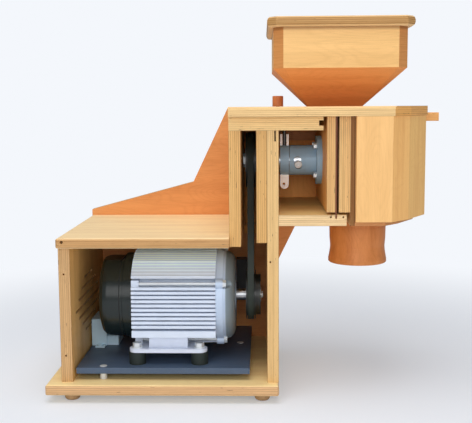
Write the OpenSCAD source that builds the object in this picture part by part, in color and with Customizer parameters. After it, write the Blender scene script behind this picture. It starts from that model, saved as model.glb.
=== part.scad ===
// Electric stone grain mill in a beech plywood cabinet.
// The motor box stands on the base board, a belt duct rises beside it and the
// mill box hangs out to the right of the duct with the hopper on its roof.
// X runs along the cabinet, Y from the open side to the back panel, Z is up.
// The origin is on the floor, below the middle of the whole mill.

/* [Cabinet boards] */
// Length of the base board
base_len = 365.5; // [330:0.5:420]
// Depth between the open side of the boards and the back panel
inner_depth = 280; // [250:1:340]
// Thickness of the back panel and of the room for the removable front cover
cover_t = 18; // [12:1:22]
// Thickness of the upright boards
upright_t = 18; // [15:0.5:22]
// Thickness of the base board
base_t = 17; // [12:0.5:22]
// Thickness of the board over the motor
motor_roof_t = 16; // [12:0.5:20]
// Thickness of the mill box floor
chamber_floor_t = 17; // [12:0.5:22]
// Thickness of each of the two layers of the roof beam
beam_layer_t = 10.5; // [8:0.5:14]
// Thickness of the top board
roof_t = 15; // [12:0.5:20]
// Rounding along the edges of the boards that stand out
edge_r = 4.5; // [1:0.5:5]
// Length of base board left of the ventilated wall
base_overhang = 23; // [5:1:40]
// Clear height of the motor box
motor_box_h = 215.5; // [205:0.5:280]
// Clear height of the mill box
mill_box_h = 129; // [122:1:180]
// Height from the motor roof board up to the mill box floor
step_h = 16; // [8:1:60]
// Clear width of the belt duct
duct_w = 24; // [22:0.5:40]
// Thickness of the board between the duct and the post
inner_board_t = 16.3; // [12:0.1:20]
// Clear length of the bearing chamber
chamber_len = 73.2; // [71:0.1:74]

/* [Feet] */
// Diameter of a foot
foot_d = 25; // [16:1:40]
// Height of a foot
foot_h = 12.5; // [6:0.5:25]
// Distance of the feet from the right end and the long edges of the base
foot_inset = 26; // [15:1:40]
// Distance of the left feet from the left end of the base
foot_inset_left = 38; // [15:1:60]

/* [Vent slots] */
// Slots above and below the middle one
vent_side_rows = 3; // [1:1:4]
// Distance from slot to slot
vent_pitch = 15; // [8:0.5:18]
// Width of a slot
vent_slot_w = 4; // [2:0.5:6]
// Length of the middle slot
vent_slot_len = 210; // [180:1:230]
// How much shorter each next slot is
vent_step = 48; // [20:1:50]

/* [Mill boards] */
// Thickness of the board that the bearing housing is bolted to
flange_board_t = 13; // [10:0.5:18]
// Thickness of the dust sheet in its groove
dust_sheet_t = 2.8; // [2:0.1:4]
// Gap between the dust sheet and the feed board
dust_gap = 2.6; // [1:0.1:5]
// Thickness of the board with the grain channel
feed_board_t = 17.5; // [15:0.5:22]
// Thickness of the board that backs the fixed stone
backing_board_t = 7; // [5:0.5:12]
// Depth of the dust sheet groove in the mill box floor
kerf_depth = 6; // [3:0.5:8]
// Gap under the flange board and the feed board
board_floor_gap = 4; // [2:0.5:8]

/* [Stone housing] */
// Length of the straight front of the stone housing
block_front = 54; // [50:1:80]
// Length of the whole stone housing
block_len = 120; // [112:1:160]
// Thickness of its staves
stave_t = 18; // [12:1:22]
// Height of the stone housing
block_h = 159; // [150:1:170]
// Thickness of the mill floor plate under it
mill_floor_t = 8; // [5:0.5:12]
// Overhang of the top board round the stone housing
roof_overhang = 2; // [0:0.5:6]

/* [Spout] */
// Diameter of the flour passage
spout_bore = 78; // [50:1:82]
// Largest radius of the spout, at its rim
spout_rim_r = 48.8; // [46.5:0.1:56]
// Height of the collar at the top of the spout
spout_collar_h = 18; // [8:1:30]
// Height of the turned part below the collar
spout_body_h = 61; // [40:1:80]

/* [Hopper] */
// Width of the hopper along the cabinet
hopper_w = 204; // [180:1:230]
// Depth of the hopper across the cabinet
hopper_d = 256; // [200:1:290]
// Height of the upright walls
hopper_wall_h = 61.5; // [40:0.5:120]
// Height of the tapered part
funnel_h = 58; // [40:1:100]
// Corner bevel of the hopper
hopper_bevel = 15; // [6:1:30]
// Thickness of the hopper walls
hopper_t = 10; // [6:0.5:14]
// Width of the lower end of the funnel along the cabinet
outlet_w = 88; // [60:1:110]
// Depth of the lower end of the funnel
outlet_d = 60; // [56:1:100]
// Thickness of the lid
lid_t = 15; // [10:0.5:20]
// Overhang of the lid round the hopper
lid_overhang = 9.7; // [4:0.1:16]
// Lift of the lid until it is clear of the hopper
lid_lift = 40; // [20:1:80]

/* [Grain slider] */
// Thickness of the slider strip
slider_t = 5; // [3:0.5:7]
// Width of the slider strip
slider_w = 44; // [42:1:60]
// Length of the feed hole along the cabinet
feed_hole_len = 13; // [10:0.5:13]
// Width of the feed hole
feed_hole_w = 36; // [20:1:38]
// Travel of the slider
slider_travel = 18; // [15:1:25]
// Height of the slider knob
slider_knob_h = 14; // [10:0.5:18]
// Width of the slider knob
slider_knob_w = 22; // [14:1:40]
// Length of the slider knob
slider_knob_len = 24; // [12:1:30]

/* [Mill] */
// Height of the mill shaft above the mill box floor
mill_axis_h = 76; // [74:0.5:80]
// Diameter of the mill shaft
mill_shaft_d = 17; // [15:0.5:18]
// Diameter of the bearing housing
housing_d = 50; // [48:0.5:56]
// Diameter of the sleeve that carries the bearings
sleeve_d = 41; // [40:0.5:43]
// Outer diameter of the ball bearings
ball_bearing_d = 35; // [32:0.5:35]
// Width of a ball bearing
ball_bearing_w = 10; // [8:0.5:12]
// Diameter of the housing flange
flange_d = 81; // [76:1:90]
// Thickness of the housing flange
flange_t = 8.7; // [6:0.1:10]
// Diameter of the millstones
stone_d = 130; // [110:1:134]
// Thickness of the fixed stone
fixed_stone_t = 18.5; // [12:0.5:24]
// Thickness of the rotating stone
rotating_stone_t = 20; // [12:0.5:26]
// Gap between the stones at the coarse end
stone_gap = 1.4; // [1.3:0.1:3]
// Diameter of the eye of the stones
stone_eye_d = 46; // [30:1:60]

/* [Fineness lever] */
// Swing of the lever from coarse to fine
lever_swing = 20; // [12:1:22]
// How far the lever is shown from the middle of its swing, towards coarse
lever_rest = 6; // [0:0.5:6]
// Axial travel of the sleeve over that swing
sleeve_travel = 1.2; // [0.4:0.1:1.2]
// Width of the lever collar
collar_w = 14.3; // [10:0.1:15]
// Width of the fork gap
fork_gap = 6.6; // [6.2:0.1:8]
// Diameter of the grip on the roof
grip_d = 18; // [12:0.5:24]
// Height of the grip
grip_h = 17.5; // [12:0.5:30]
// Distance of the grip to the left of the fork
grip_offset = 11; // [8:0.5:13.5]
// Diameter of the lever rod
rod_d = 6; // [4:0.5:6]

/* [Belt drive] */
// Outer radius of the belt on the mill pulley
mill_belt_r = 46; // [40:0.5:50]
// Outer radius of the belt on the motor pulley
motor_belt_r = 41; // [36:0.5:46]
// Width of the belt
belt_w = 10; // [8:0.5:11]
// Thickness of the belt
belt_t = 6; // [4:0.5:7]
// Thickness of a pulley flange
pulley_flange_t = 1.6; // [1.2:0.1:2.2]

/* [Motor] */
// Height of the motor shaft above its feet
motor_shaft_h = 79.5; // [79:0.5:90]
// Distance of the motor shaft in front of the middle of the cabinet
motor_forward = 40; // [30:1:45]
// Length of the stator housing
stator_len = 134; // [110:1:138]
// Half width of the stator housing over its fins
stator_r = 77; // [75:0.5:78]
// Depth of the cooling fins
fin_depth = 13; // [12:0.5:16]
// Distance from fin to fin
fin_pitch = 6.9; // [6.5:0.1:7]
// Thickness of a fin
fin_t = 4.4; // [2.5:0.1:4.6]
// Radius of the fan cowl
cowl_r = 68; // [66:0.5:70]
// Length of the fan cowl
cowl_len = 55; // [40:1:60]
// Diameter of the motor shaft
motor_shaft_d = 19; // [14:0.5:24]
// Foot hole spacing along the shaft
foot_hole_x = 100; // [90:1:110]
// Foot hole spacing across the shaft
foot_hole_y = 125; // [112:1:130]

/* [Motor plate] */
// Gap between the steel plate and the post board
plate_to_post = 28; // [10:0.5:60]
// Depth of the steel plate
plate_depth = 268; // [230:1:268]
// Thickness of the steel plate
plate_t = 9.5; // [6:0.5:12]
// Height of the standoffs under the plate
standoff_h = 10.5; // [5:0.5:20]
// Diameter of the rubber buffers
buffer_d = 27; // [20:1:32]
// Height of the rubber buffers
buffer_h = 20; // [12:0.5:25]

/* [Back panel] */
// Distance of the hopper's middle from the post
hopper_from_post = 94.3; // [94:0.1:96]
// Height of the back panel's shoulder over the motor roof board
shoulder_rise = 10; // [4:1:20]
// Width of the recess for the switch
switch_w = 20; // [18:1:24]
// Height of the recess for the switch
switch_h = 34; // [28:1:40]
// Diameter of the cable passage
cable_bore_d = 9; // [6:0.5:12]

/* [Hidden] */
$fn = 64;
beech = [0.87, 0.70, 0.46];
dark_beech = [0.72, 0.45, 0.24];
cast = [0.82, 0.83, 0.88];
black = [0.14, 0.16, 0.16];
zinc = [0.75, 0.76, 0.76];
steel_grey = [0.42, 0.47, 0.53];
eps = 0.01;
fit = 0.02;
running = 0.05;
seat = 0.3;

// Depth positions
front_y = -inner_depth / 2;
back_y = inner_depth / 2;
cover_y = front_y - cover_t;
outer_y = back_y + cover_t;
// Heights
base_top = foot_h + base_t;
motor_roof_z = base_top + motor_box_h;
motor_roof_top = motor_roof_z + motor_roof_t;
chamber_z = motor_roof_top + step_h;
chamber_top = chamber_z + chamber_floor_t;
beam_z = chamber_top + mill_box_h;
beam_t = 2 * beam_layer_t;
roof_z = beam_z + beam_t;
roof_top = roof_z + roof_t;
axis_z = chamber_top + mill_axis_h;
block_z = roof_z - block_h;
// Positions along the cabinet, measured from the left end of the base board
post_x = base_len - upright_t;
bearing_x = post_x - inner_board_t;
duct_x = bearing_x - duct_w - upright_t;
duct_clear_x = duct_x + upright_t;
flange_board_x = base_len + chamber_len;
dust_x = flange_board_x + flange_board_t;
feed_x = dust_x + dust_sheet_t + dust_gap;
backing_x = feed_x + feed_board_t;
block_x = backing_x + backing_board_t;
feed_mid_x = feed_x + feed_board_t / 2;
hopper_x = base_len + hopper_from_post;
slider_stub = 6;
slider_end = block_x + block_len + slider_stub;
overall_len = slider_end + slider_knob_len;
// Bearings and lever
collar_clear = 0.8;
collar_x = base_len + 4.9;
housing_x = collar_x + collar_w + collar_clear;
flange_x = flange_board_x - flange_t;
sleeve_x = collar_x - 1.8;
sleeve_end = flange_board_x - 2.5;
fork_x = collar_x + collar_w / 2;
grip_x = fork_x - grip_offset;
half_swing = lever_swing / 2;
half_travel = sleeve_travel / 2;
// Swing and travel to each side of the position shown
back_swing = half_swing + lever_rest;
front_swing = half_swing - lever_rest;
far_travel = sleeve_travel * back_swing / lever_swing;
collar_r = housing_d / 2 - 0.5;
rod_foot_r = sleeve_d / 2 + 1.5;
fork_top_r = collar_r + 19;
screw_x = housing_x + 14.2;
slot_tilt = 8;
screw_tilt = slot_tilt + lever_rest;
screw_head_d = 11.5;
screw_clearance = 0.5;
screw_shank_r = 3;
// Roof recess in which the grip swings
recess_depth = 6;
recess_r = roof_top - recess_depth - axis_z;
grip_r = (recess_r + seat + grip_d / 2 * sin(back_swing)) / cos(back_swing);
crank_r = beam_z + beam_t / 2 - axis_z;
// Stones
fixed_x = block_x;
rotating_x = fixed_x + fixed_stone_t + stone_gap;
nut_x = rotating_x + rotating_stone_t;
stone_nut_w = 9;
shaft_start = duct_clear_x + 1.5;
shaft_end = nut_x + stone_nut_w + 4;
// Belt drive
belt_clear = far_travel + 0.3;
pulley_w = belt_w + 2 * pulley_flange_t + 2 * belt_clear;
belt_x = duct_clear_x + 13.9;
motor_y = -motor_forward;
plate_z = base_top + standoff_h;
plate_top = plate_z + plate_t;
motor_foot_z = plate_top + buffer_h;
motor_z = motor_foot_z + motor_shaft_h;
// Motor
wall_x = base_overhang;
stator_x = duct_x - 157.5;
stator_end = stator_x + stator_len;
shield_t = 11.5;
shield_end = stator_end + shield_t;
bell_t = 18.5;
bell_end = shield_end + bell_t;
cowl_x = stator_x - cowl_len;
foot_mid_x = stator_x + 57;
foot_w = foot_hole_y + 25;
foot_t = 6;
foot_bolt_r = 4;
buffer_y = foot_hole_y / 2;
motor_pulley_x = belt_x - pulley_w / 2;
disc_w = 8;

// Places a piece so that the middle of the mill is over the origin
module placed() {
  translate([-overall_len / 2, 0, 0]) children();
}

// A cylinder along X that starts at x, round the axis at y and z
module rod_x(x, y, z, r, len) {
  translate([x, y, z]) rotate([0, 90, 0]) cylinder(r = r, h = len);
}

// A block given by its lower and upper corners
module block(low, high) {
  translate(low) cube(high - low);
}

// A square outline with rounded corners that starts at the origin
module soft_square(w, h, r) {
  translate([r, 0]) square([w - 2 * r, h]);
  translate([0, r]) square([w, h - 2 * r]);
  for (x = [r, w - r]) {
    for (y = [r, h - r]) {
      translate([x, y]) circle(r = r, $fn = 32);
    }
  }
}

// A board along X with rounded long edges
module soft_board(x0, x1, y0, y1, z0, z1) {
  translate([x0, y0, z0]) rotate([90, 0, 90])
    linear_extrude(height = x1 - x0) soft_square(y1 - y0, z1 - z0, edge_r);
}

// A board whose left end is rounded too, and its right end if both is true
module round_board(x0, x1, y0, y1, z0, z1, both = true) {
  end = both ? x1 : x1 + 2 * edge_r;
  intersection() {
    soft_board(x0, x1, y0, y1, z0, z1);
    translate([x0, y1, z0]) rotate([90, 0, 0])
      linear_extrude(height = y1 - y0) soft_square(end - x0, z1 - z0, edge_r);
    translate([x0, y0, z0])
      linear_extrude(height = z1 - z0) soft_square(end - x0, y1 - y0, edge_r);
  }
}

// An outline moved inwards by d, for a convex outline that runs anticlockwise
function unit_out(a, b) = let (v = b - a) [v.y, -v.x] / norm(v);
function inset(points, d) = [
  for (i = [0 : len(points) - 1])
    let (
      n = len(points),
      before = unit_out(points[(i + n - 1) % n], points[i]),
      after = unit_out(points[i], points[(i + 1) % n])
    )
    points[i] - d * (before + after) / (1 + before * after)
];

// A rectangle round the origin with bevelled corners
function bevelled(w, d, b) = [
  [w / 2 - b, -d / 2], [w / 2, b - d / 2], [w / 2, d / 2 - b], [w / 2 - b, d / 2],
  [b - w / 2, d / 2], [-w / 2, d / 2 - b], [-w / 2, b - d / 2], [b - w / 2, -d / 2]
];

// The outline of the stone housing from its left side, which lies at x
function block_outline(x) = [
  [x, cover_y], [block_front, cover_y], [block_len - 36, cover_y + 35],
  [block_len, cover_y + 97], [block_len, outer_y - 97], [block_len - 36, outer_y - 35],
  [block_front, outer_y], [x, outer_y]
];

// A point on a curve with one control point
function curve(a, b, c, t) = (1 - t) * (1 - t) * a + 2 * t * (1 - t) * b + t * t * c;

module base_board() {
  color(beech) round_board(0, base_len, cover_y, outer_y, foot_h, base_top);
}

// The rounded lower edge of a foot
foot_side = [for (t = [0 : 0.25 : 1])
  curve([foot_d / 2 - 5, 0], [foot_d / 2 - 0.5, 0.5], [foot_d / 2, foot_h / 2], t)];
module feet() {
  color(beech)
    for (x = [foot_inset_left, base_len - foot_inset]) {
      for (y = [cover_y + foot_inset, outer_y - foot_inset]) {
        translate([x, y, 0]) rotate_extrude()
          polygon(concat([[0, 0]], foot_side, [[foot_d / 2, foot_h], [0, foot_h]]));
      }
    }
}

module vent_slots() {
  for (row = [-vent_side_rows : vent_side_rows]) {
    slot_len = vent_slot_len - vent_step * abs(row);
    slot_z = motor_z - 17 + row * vent_pitch;
    block([wall_x - 1, -slot_len / 2, slot_z - vent_slot_w / 2],
      [wall_x + upright_t + 1, slot_len / 2, slot_z + vent_slot_w / 2]);
  }
}

module vent_wall() {
  color(beech) difference() {
    block([wall_x, front_y, base_top], [wall_x + upright_t, back_y, motor_roof_z]);
    vent_slots();
    cover_holes(wall_x + 8, [72, 202]);
  }
}

// Screw holes in the front edge of an upright board for the removable cover
cover_hole_d = 3;
cover_hole_depth = 25;
module cover_holes(x, heights) {
  for (z = heights) {
    translate([x, front_y - 1, z]) rotate([-90, 0, 0])
      cylinder(d = cover_hole_d, h = cover_hole_depth + 1);
  }
}

// A dowel on the removable cover finds the hole in this board's front edge
dowel_d = 5;
dowel_depth = 20;
module motor_roof_board() {
  color(beech) difference() {
    round_board(wall_x, duct_x, cover_y, back_y, motor_roof_z, motor_roof_top, false);
    translate([wall_x + 10, cover_y - 1, motor_roof_z + 10]) rotate([-90, 0, 0])
      cylinder(d = dowel_d, h = dowel_depth + 1);
  }
}

module back_panel() {
  shoulder = motor_roof_top + shoulder_rise;
  outline = [
    [wall_x, base_top], [base_len, base_top], [base_len, chamber_z - 110],
    [base_len + 54, chamber_z], [block_x, chamber_z], [block_x, roof_top],
    [duct_x - 11.2, roof_top], [duct_x - 76.6, shoulder + 50.6], [wall_x, shoulder]
  ];
  color(dark_beech) difference() {
    translate([0, outer_y, 0]) rotate([90, 0, 0])
      linear_extrude(height = cover_t) polygon(outline);
    block([switch_x, back_y - 1, switch_z], [switch_x + switch_w, outer_y + 1, switch_z + switch_h]);
    translate([gland_x, back_y - 1, gland_z]) rotate([-90, 0, 0])
      cylinder(d = gland_d, h = cover_t + 2);
  }
}

module duct_board() {
  color(beech) block([duct_x, front_y, motor_roof_z], [duct_clear_x, back_y, beam_z]);
}

module bearing_board() {
  color(beech) difference() {
    block([bearing_x, front_y, motor_roof_z + 6], [post_x, back_y, beam_z]);
    rod_x(bearing_x - 1, 0, axis_z, shaft_passage_r, inner_board_t + 2);
  }
}

shaft_passage_r = mill_shaft_d / 2 + 4;
post_kerf_w = 2.4;
post_kerf_depth = 16.5;
module post_board() {
  kerf_x = base_len - 6.8;
  color(beech) difference() {
    block([post_x, front_y, base_top], [base_len, back_y, beam_z]);
    rod_x(post_x - 1, 0, axis_z, shaft_passage_r, upright_t + 2);
    block([kerf_x, front_y - 1, beam_z - post_kerf_depth],
      [kerf_x + post_kerf_w, back_y + 1, beam_z + 1]);
    cover_holes(post_x + 5, [221]);
  }
}

// Room for the swinging lever: front and back limits at a distance from the shaft
function front_reach(r, room) = -r * sin(front_swing) - room;
function back_reach(r, room) = r * sin(back_swing) + room;

module roof_beam() {
  beam_end = flange_board_x - 5.7;
  reach_r = roof_z - axis_z;
  room = rod_d / 2 + 3;
  color(beech) difference() {
    block([duct_x, front_y, beam_z], [beam_end, back_y, roof_z]);
    block([beam_end - 6.5, front_y - 1, beam_z + 7], [beam_end + 1, back_y + 1, beam_z + 15]);
    block([grip_x - room, front_reach(reach_r, room), beam_z - 1],
      [fork_x + room, back_reach(reach_r, room), roof_z + 1]);
  }
}

module roof_outline() {
  low_y = cover_y - roof_overhang;
  translate([block_x, 0]) intersection() {
    polygon(inset(block_outline(duct_x - block_x), -roof_overhang));
    union() {
      translate([0, low_y]) square([overall_len, -2 * low_y]);
      translate([duct_x - block_x, low_y]) square([block_x - duct_x + 1, back_y - low_y]);
    }
  }
}

module roof_board() {
  slot_r = roof_top - axis_z;
  slot_room = rod_d / 2 + 2;
  grip_room = grip_d / 2 + 1 + recess_depth * tan(back_swing);
  grip_side = grip_d / 2 + 2;
  color(beech) difference() {
    intersection() {
      translate([0, 0, roof_z]) linear_extrude(height = roof_t) roof_outline();
      soft_board(duct_x, overall_len, cover_y, outer_y, roof_z - edge_r, roof_top);
    }
    block([grip_x - slot_room, front_reach(slot_r, slot_room), roof_z - 1],
      [grip_x + slot_room, back_reach(slot_r, slot_room), roof_top]);
    block([grip_x - grip_side, front_reach(grip_r, grip_room), roof_top - recess_depth],
      [grip_x + grip_side, back_reach(grip_r, grip_room), roof_top + 1]);
    block([feed_mid_x - feed_hole_len / 2, -feed_hole_w / 2, roof_z - 1],
      [feed_mid_x + feed_hole_len / 2, feed_hole_w / 2, roof_top + 1]);
    slider_groove();
  }
}

// Groove under the roof board in which the grain slider runs
slider_x = feed_mid_x - feed_hole_len / 2 - 5;
module slider_groove() {
  block([slider_x - seat, -slider_w / 2 - seat, roof_z - 1],
    [overall_len, slider_w / 2 + seat, roof_z + slider_t + seat]);
}

module chamber_floor() {
  right = feed_x + feed_board_t - 5.5;
  color(beech) difference() {
    block([base_len, front_y, chamber_z], [right, back_y, chamber_top]);
    block([dust_x, front_y - 1, chamber_top - kerf_depth],
      [dust_x + dust_sheet_t, back_y + 1, chamber_top + 1]);
    cover_holes(dust_x - 6.5, [chamber_top - 3.5]);
    cover_holes(feed_x + 7, [chamber_top - 3.5]);
  }
}

module flange_board() {
  color(beech) difference() {
    block([flange_board_x, front_y, chamber_top + board_floor_gap],
      [dust_x, back_y, roof_z]);
    rod_x(flange_board_x - 1, 0, axis_z, sleeve_d / 2 + 1, flange_board_t + 2);
    bolt_circle(flange_board_x - 1, flange_board_t + 2, housing_bolt_d / 2);
  }
}

module dust_sheet() {
  color(dark_beech) difference() {
    block([dust_x, front_y + 4, chamber_top - kerf_depth],
      [dust_x + dust_sheet_t, back_y, roof_z]);
    rod_x(dust_x - 1, 0, axis_z, shaft_passage_r, dust_sheet_t + 2);
  }
}

// Grain falls from the feed hole down a channel in this board to the shaft
channel_web = 4.5;
module feed_board() {
  color(beech) difference() {
    block([feed_x, front_y, chamber_top + board_floor_gap], [backing_x, back_y, roof_z]);
    rod_x(feed_x - 1, 0, axis_z, mill_shaft_d / 2 + 1, feed_board_t + 2);
    rod_x(feed_x + channel_web, 0, axis_z, feed_hole_w / 2 + 2, feed_board_t);
    block([feed_x + channel_web, -feed_hole_w / 2 - 2, axis_z],
      [backing_x + 1, feed_hole_w / 2 + 2, roof_z + 1]);
  }
}

module backing_board() {
  color(beech) difference() {
    block([backing_x, front_y + 3, chamber_z], [block_x, back_y, roof_z]);
    rod_x(backing_x - 1, 0, axis_z, stone_eye_d / 2, backing_board_t + 2);
  }
}

module stone_housing() {
  color(beech) translate([block_x, 0, block_z]) difference() {
    linear_extrude(height = block_h) polygon(block_outline(0));
    translate([0, 0, -1]) linear_extrude(height = block_h + 2)
      polygon(inset(block_outline(-2 * stave_t), stave_t));
  }
}

spout_x = fixed_x + fixed_stone_t + stone_gap / 2;
module mill_floor() {
  floor_outline = [for (p = inset(block_outline(-stave_t), stave_t)) [max(p.x, 0), p.y]];
  color(dark_beech) difference() {
    translate([block_x, 0, chamber_z])
      linear_extrude(height = mill_floor_t) polygon(floor_outline);
    translate([spout_x, 0, chamber_z - 1]) cylinder(d = spout_bore + 4, h = mill_floor_t + 2);
  }
}

// The spout is turned in one piece: a collar, a shallow waist and a flared rim
module spout() {
  top_r = spout_rim_r - 2.2;
  body_r = spout_rim_r - 1.6;
  waist_r = spout_rim_r - 3.2;
  rim_z = -spout_collar_h - spout_body_h;
  color(dark_beech) translate([spout_x, 0, chamber_z]) difference() {
    rotate_extrude($fn = 72) polygon([
      [spout_bore / 2, 0], [top_r, 0], [top_r, -spout_collar_h],
      [body_r, -spout_collar_h],
      [waist_r + 1.2, rim_z + spout_body_h * 0.68], [waist_r, rim_z + spout_body_h * 0.46],
      [waist_r + 0.6, rim_z + spout_body_h * 0.34], [spout_rim_r - 0.8, rim_z + 10],
      [spout_rim_r, rim_z + 6], [spout_rim_r, rim_z + 1.5], [spout_rim_r - 1.5, rim_z],
      [spout_bore / 2, rim_z]
    ]);
  }
}

wall_top = roof_top + funnel_h + hopper_wall_h;
module hopper_walls() {
  outer = bevelled(hopper_w, hopper_d, hopper_bevel);
  color(beech) translate([hopper_x, 0, roof_top + funnel_h]) difference() {
    linear_extrude(height = hopper_wall_h) polygon(outer);
    translate([0, 0, -1]) linear_extrude(height = hopper_wall_h + 2)
      polygon(inset(outer, hopper_t));
  }
}

// The tapered space between two outlines, from the roof board up
module taper(low_w, low_d, top_outline, low_z, high_z) {
  hull() {
    translate([0, 0, low_z]) linear_extrude(height = eps)
      square([low_w, low_d], center = true);
    translate([0, 0, high_z - eps]) linear_extrude(height = eps) polygon(top_outline);
  }
}

module hopper_funnel() {
  outer = bevelled(hopper_w, hopper_d, hopper_bevel);
  color(dark_beech) translate([hopper_x, 0, roof_top]) difference() {
    taper(outlet_w, outlet_d, outer, 0, funnel_h);
    taper(outlet_w - 2 * hopper_t, outlet_d - 2 * hopper_t, inset(outer, hopper_t),
      -eps, funnel_h + eps);
  }
}

// Thickness of the bullnose edge is the lid's own thickness
module hopper_lid() {
  outer = bevelled(hopper_w + 2 * lid_overhang, hopper_d + 2 * lid_overhang,
    hopper_bevel - 2);
  color(beech) translate([hopper_x, 0, wall_top + (lid_t + eps) / 2]) hull() {
    for (a = [-75 : 30 : 75]) {
      translate([0, 0, lid_t / 2 * sin(a) / sin(75) - eps / 2]) linear_extrude(height = eps)
        polygon(inset(outer, lid_t / 2 * (1 - cos(a)) * 0.7));
    }
  }
}

lid_frame_h = 10;
lid_frame_gap = 1.5;
module lid_frame() {
  outer = inset(bevelled(hopper_w, hopper_d, hopper_bevel), hopper_t + lid_frame_gap);
  color(beech) translate([hopper_x, 0, wall_top - lid_frame_h]) difference() {
    linear_extrude(height = lid_frame_h) polygon(outer);
    translate([0, 0, -1]) linear_extrude(height = lid_frame_h + 2)
      polygon(inset(outer, hopper_t));
  }
}

slider_clear = 0.15;
module grain_slider() {
  color(beech) block([slider_x, -slider_w / 2, roof_z + slider_clear],
    [slider_end, slider_w / 2, roof_z + slider_t - slider_clear]);
}

module slider_knob() {
  color(dark_beech) translate([slider_end, -slider_knob_w / 2, roof_z + 4 - slider_knob_h])
    rotate([90, 0, 90]) linear_extrude(height = slider_knob_len)
      soft_square(slider_knob_w, slider_knob_h, 2);
}

housing_bolt_d = 5;
bolt_circle_r = 34;
module bolt_circle(x, len, r) {
  for (a = [45 : 90 : 315]) {
    rod_x(x, bolt_circle_r * cos(a), axis_z + bolt_circle_r * sin(a), r, len);
  }
}

// A radial hole or stud pointing to the open side, turned about the shaft
module radial(x, angle, from_r, to_r, r) {
  translate([x, 0, axis_z]) rotate([angle, 0, 0]) rotate([90, 0, 0])
    translate([0, 0, from_r]) cylinder(r = r, h = to_r - from_r);
}

// Slot that turns the lever's swing into the sleeve's travel
module slanted_slot() {
  slot_r = screw_head_d / 2 + screw_clearance;
  half_run = (housing_d / 2 + 2) * sin(half_swing);
  slant = atan(half_travel / ((housing_d / 2 - 2) * sin(half_swing)));
  slot_x = screw_x - sleeve_travel * lever_rest / lever_swing;
  translate([slot_x, 0, axis_z]) rotate([slot_tilt + 90, 0, 0])
    linear_extrude(height = housing_d) rotate(slant) {
      square([2 * slot_r, 2 * half_run], center = true);
      for (end = [-half_run, half_run]) {
        translate([0, end]) circle(r = slot_r);
      }
    }
}

module bearing_housing() {
  color(steel_grey) difference() {
    union() {
      rod_x(housing_x, 0, axis_z, housing_d / 2, flange_x - housing_x + 1);
      rod_x(flange_x, 0, axis_z, flange_d / 2, flange_t);
    }
    rod_x(housing_x - 1, 0, axis_z, sleeve_d / 2 + running, flange_board_x - housing_x + 2);
    bolt_circle(flange_x - 1, flange_t + 2, housing_bolt_d / 2);
    slanted_slot();
  }
}

bolt_head_h = 5;
module housing_bolts() {
  color(zinc) for (a = [45 : 90 : 315]) {
    y = bolt_circle_r * cos(a);
    z = axis_z + bolt_circle_r * sin(a);
    rod_x(flange_x, y, z, housing_bolt_d / 2 - 0.1, flange_t + flange_board_t);
    translate([flange_x - bolt_head_h, y, z]) rotate([0, 90, 0])
      cylinder(d = 10, h = bolt_head_h, $fn = 6);
  }
}

module sleeve() {
  len = sleeve_end - sleeve_x;
  seat_len = ball_bearing_w + 1.5;
  color(zinc) difference() {
    rod_x(sleeve_x, 0, axis_z, sleeve_d / 2, len);
    rod_x(sleeve_x - 1, 0, axis_z, ball_bearing_d / 2 - 2.5, len + 2);
    rod_x(sleeve_x - 1, 0, axis_z, ball_bearing_d / 2 + running, seat_len + 1);
    rod_x(sleeve_end - seat_len, 0, axis_z, ball_bearing_d / 2 + running, seat_len + 1);
    radial(screw_x, screw_tilt, 5, sleeve_d / 2 + 2, screw_shank_r + fit);
  }
}

module ball_bearing(x) {
  color(zinc) difference() {
    rod_x(x, 0, axis_z, ball_bearing_d / 2, ball_bearing_w);
    rod_x(x - 1, 0, axis_z, mill_shaft_d / 2 + running, ball_bearing_w + 2);
    for (side = [-1, ball_bearing_w - 1]) {
      translate([x + side, 0, axis_z]) rotate([0, 90, 0]) difference() {
        cylinder(r = ball_bearing_d / 2 - 2.5, h = 2);
        translate([0, 0, -1]) cylinder(r = mill_shaft_d / 2 + 2.5, h = 4);
      }
    }
  }
}

module bearing_left() {
  ball_bearing(sleeve_x + 1);
}

module bearing_right() {
  ball_bearing(sleeve_end - 1 - ball_bearing_w);
}

// Collar clamped round the sleeve, with a fork above and an ear below
module lever_collar() {
  prong = (collar_w - fork_gap) / 2;
  prong_depth = 9;
  ear_r = collar_w / 2;
  ear_z = collar_r + 16.5;
  color(zinc) difference() {
    union() {
      rod_x(collar_x, 0, axis_z, collar_r, collar_w);
      for (x = [collar_x, collar_x + collar_w - prong]) {
        block([x, -prong_depth / 2, axis_z + sleeve_d / 2 + 1],
          [x + prong, prong_depth / 2, axis_z + fork_top_r]);
      }
      block([collar_x, -4, axis_z - ear_z], [collar_x + collar_w, 4, axis_z - sleeve_d / 2 - 1]);
      translate([fork_x, -4, axis_z - ear_z]) rotate([-90, 0, 0]) cylinder(r = ear_r, h = 8);
    }
    rod_x(collar_x - 1, 0, axis_z, sleeve_d / 2 + fit, collar_w + 2);
    translate([fork_x, 0, axis_z + rod_foot_r]) cylinder(r = rod_d / 2 + fit, h = 5);
    translate([fork_x - 1, -5, axis_z - ear_z + 1]) rotate([-90, 0, 0])
      cylinder(d = 4.5, h = 10);
  }
}

// Round rod from the fork, cranked inside the roof beam, up into the grip
module lever_rod() {
  color(zinc) {
    translate([fork_x, 0, axis_z + rod_foot_r])
      cylinder(d = rod_d, h = crank_r - rod_foot_r);
    translate([grip_x, 0, axis_z + crank_r])
      cylinder(d = rod_d, h = grip_r - crank_r);
    for (x = [fork_x, grip_x]) {
      translate([x, 0, axis_z + crank_r]) sphere(d = rod_d);
    }
    rod_x(grip_x, 0, axis_z + crank_r, rod_d / 2, grip_offset);
  }
}

module lever_grip() {
  color(dark_beech) translate([grip_x, 0, axis_z + grip_r]) rotate_extrude()
    polygon([[0, 0], [grip_d / 2, 0], [grip_d / 2, grip_h - 1], [grip_d / 2 - 1, grip_h],
      [0, grip_h]]);
}

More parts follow.
